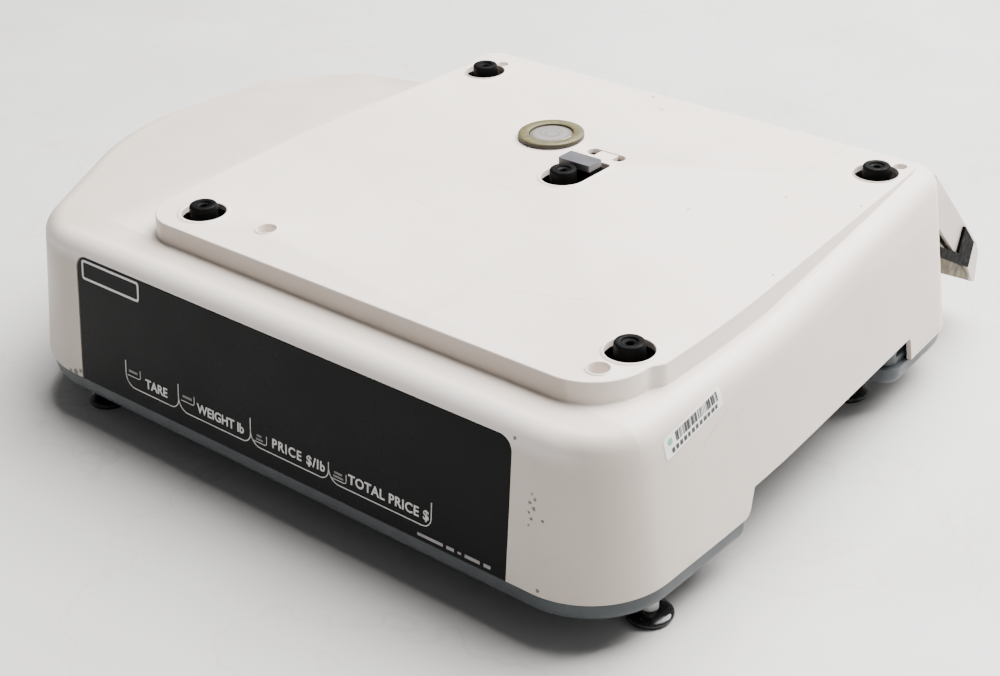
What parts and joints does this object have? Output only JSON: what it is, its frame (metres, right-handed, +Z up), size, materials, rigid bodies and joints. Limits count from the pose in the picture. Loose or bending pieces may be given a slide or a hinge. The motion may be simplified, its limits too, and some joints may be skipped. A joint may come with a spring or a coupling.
{
  "type": "counter-top price-computing label scale",
  "caption": "Low counter-top deli scale with its platter off: raised deck with rubber posts, dark customer display, label-printer wing, sloping operator console, levelling feet.",
  "frame": {"origin": "centre of the footprint on the counter", "axes": "+X to the right as the customer sees it, +Y towards the operator, +Z up"},
  "size_m": [0.528, 0.437, 0.1394],
  "materials": {
    "cover": "warm off-white moulded ABS, faint satin",
    "slate": "slate-blue powder coat",
    "window": "near-black satin overlay",
    "rubber": "matte black",
    "foot": "glossy black",
    "zinc": "zinc plated",
    "brass": "dull olive brass",
    "vial": "clear with pale liquid",
    "grey": "mid grey",
    "passivated": "yellow passivated",
    "aluminium": "cast and machined",
    "board": "green laminate",
    "paper": "white paper",
    "gear": "natural acetal",
    "steel": "plain steel",
    "glass": "dark tinted"
  },
  "bodies": {
    "base": {"asset_label": "paper", "base_pan": "slate", "calibration_tab": "cover", "cell_base_block": "aluminium", "console_bracket": "passivated", "console_shell": "cover", "console_trim_right": "rubber", "cover_screw_back_left": "zinc", "cover_screw_back_right": "zinc", "cover_screw_front_left": "zinc", "cover_screw_front_right": "zinc", "customer_display_window": "window", "display_board": "board", "display_tube": "glass", "door_hinge_pin": "steel", "foot_locknut_back_left": "zinc", "foot_locknut_back_right": "zinc", "foot_locknut_front_left": "zinc", "foot_locknut_front_right": "zinc", "head_pivot_pin": "steel", "keyboard_board": "board", "keypad_overlay": "window", "label_spindle": "gear", "level_ring": "brass", "level_vial": "vial", "load_cell": "aluminium", "main_board": "board", "operator_display_window": "window", "overload_stop": "zinc", "power_inlet": "rubber", "power_supply": "steel", "printer_frame": "steel", "printer_motor": "steel", "top_cover": "cover"},
    "platform": {"weighing_spider": "aluminium", "cell_spacer": "aluminium", "stop_block": "rubber", "stop_cap": "grey", "platter_post_centre": "rubber", "platter_post_front_left": "rubber", "platter_post_front_right": "rubber", "platter_post_back_right": "rubber", "platter_post_back_left": "rubber"},
    "door": {"printer_door": "cover"},
    "latch": {"door_latch": "grey"},
    "head": {"print_head": "aluminium"},
    "platen": {"platen_roller": "rubber", "platen_gear": "gear"},
    "idler": {"idler_gear": "gear"},
    "pinion": {"motor_pinion": "gear"},
    "roll": {"label_roll": "paper"},
    "switch": {"power_switch": "rubber"},
    "foot_front_left": {"foot_pad_front_left": "foot", "foot_stem_front_left": "zinc"},
    "foot_front_right": {"foot_pad_front_right": "foot", "foot_stem_front_right": "zinc"},
    "foot_back_right": {"foot_pad_back_right": "foot", "foot_stem_back_right": "zinc"},
    "foot_back_left": {"foot_pad_back_left": "foot", "foot_stem_back_left": "zinc"}
  },
  "joints": [
    {"name": "platform_travel", "type": "slide", "parent": "base", "child": "platform", "axis": [0, 0, 1], "range_m": [-0.0005, 0], "stiffness_N_per_m": 20000, "springref_m": 0.0005},
    {"name": "door_hinge", "type": "hinge", "parent": "base", "child": "door", "pos_m": [-0.167, 0.1137, 0.042], "axis": [-1, 0, 0], "range_deg": [0, 92]},
    {"name": "latch_press", "type": "slide", "parent": "door", "child": "latch", "axis": [0, -1, 0], "range_m": [0, 0.0015], "stiffness_N_per_m": 400},
    {"name": "head_lift", "type": "hinge", "parent": "base", "child": "head", "pos_m": [-0.171, 0.0475, 0.079], "axis": [1, 0, 0], "range_deg": [0, 22]},
    {"name": "roll_spin", "type": "hinge", "parent": "base", "child": "roll", "pos_m": [-0.169, -0.0075, 0.065], "axis": [1, 0, 0], "continuous": true},
    {"name": "platen_spin", "type": "hinge", "parent": "base", "child": "platen", "pos_m": [-0.171, 0.0855, 0.061], "axis": [1, 0, 0], "continuous": true},
    {"name": "idler_spin", "type": "hinge", "parent": "base", "child": "idler", "pos_m": [-0.1317, 0.0635, 0.04535], "axis": [1, 0, 0], "continuous": true},
    {"name": "pinion_spin", "type": "hinge", "parent": "base", "child": "pinion", "pos_m": [-0.1317, 0.0425, 0.045], "axis": [1, 0, 0], "continuous": true},
    {"name": "switch_rock", "type": "hinge", "parent": "base", "child": "switch", "pos_m": [-0.25601, 0.0255, 0.049], "axis": [0, 1, 0], "range_deg": [-6, 6]},
    {"name": "foot_screw_front_left", "type": "slide", "parent": "base", "child": "foot_front_left", "axis": [0, 0, 1], "range_m": [-0.008, 0.01]},
    {"name": "foot_screw_front_right", "type": "slide", "parent": "base", "child": "foot_front_right", "axis": [0, 0, 1], "range_m": [-0.008, 0.01]},
    {"name": "foot_screw_back_right", "type": "slide", "parent": "base", "child": "foot_back_right", "axis": [0, 0, 1], "range_m": [-0.008, 0.01]},
    {"name": "foot_screw_back_left", "type": "slide", "parent": "base", "child": "foot_back_left", "axis": [0, 0, 1], "range_m": [-0.008, 0.01]}
  ],
  "couplings": [
    {"joint": "roll_spin", "follows": "platen_spin", "ratio": 0.19444},
    {"joint": "idler_spin", "follows": "platen_spin", "ratio": -0.8},
    {"joint": "pinion_spin", "follows": "platen_spin", "ratio": 2}
  ]
}
